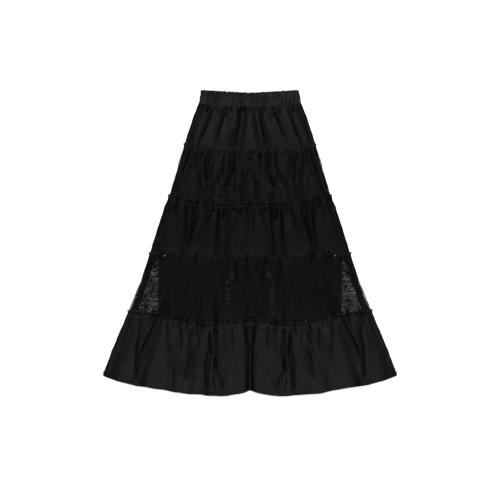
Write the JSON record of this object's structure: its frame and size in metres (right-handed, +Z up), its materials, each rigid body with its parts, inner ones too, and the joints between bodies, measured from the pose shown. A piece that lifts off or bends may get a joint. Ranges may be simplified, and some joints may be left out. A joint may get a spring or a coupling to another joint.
{
  "type": "tiered lace maxi skirt",
  "caption": "Tiered maxi skirt laid flat, with a shirred elastic waistband, poplin and lace tiers gathered to each other, frilled seam headings and a slip lining.",
  "frame": {"origin": "on the surface that the skirt lies on, under the middle of its box: half way from the waist edge to the lowest point of the hem, on the centre line", "axes": "+Y up the skirt towards the waist, +X across it, +Z up from the surface, out of the skirt's front"},
  "size_m": [0.913, 0.9471, 0.0123],
  "materials": {
    "poplin": "black cotton-blend poplin, plain weave with a slight lustre",
    "lace": "black floral lace, matt net with closely worked motifs",
    "lining": "black plain lining, smooth and matt"
  },
  "bodies": {
    "root": {"waistband": "poplin", "tier_1_front": "poplin", "tier_1_back": "poplin", "tier_2_front": "lace", "tier_2_back": "lace", "tier_3_front": "poplin", "tier_3_back": "poplin", "tier_4_front": "lace", "tier_4_back": "lace", "tier_5_front": "poplin", "tier_5_back": "poplin", "lining_front": "lining", "lining_back": "lining"}
  },
  "joints": []
}
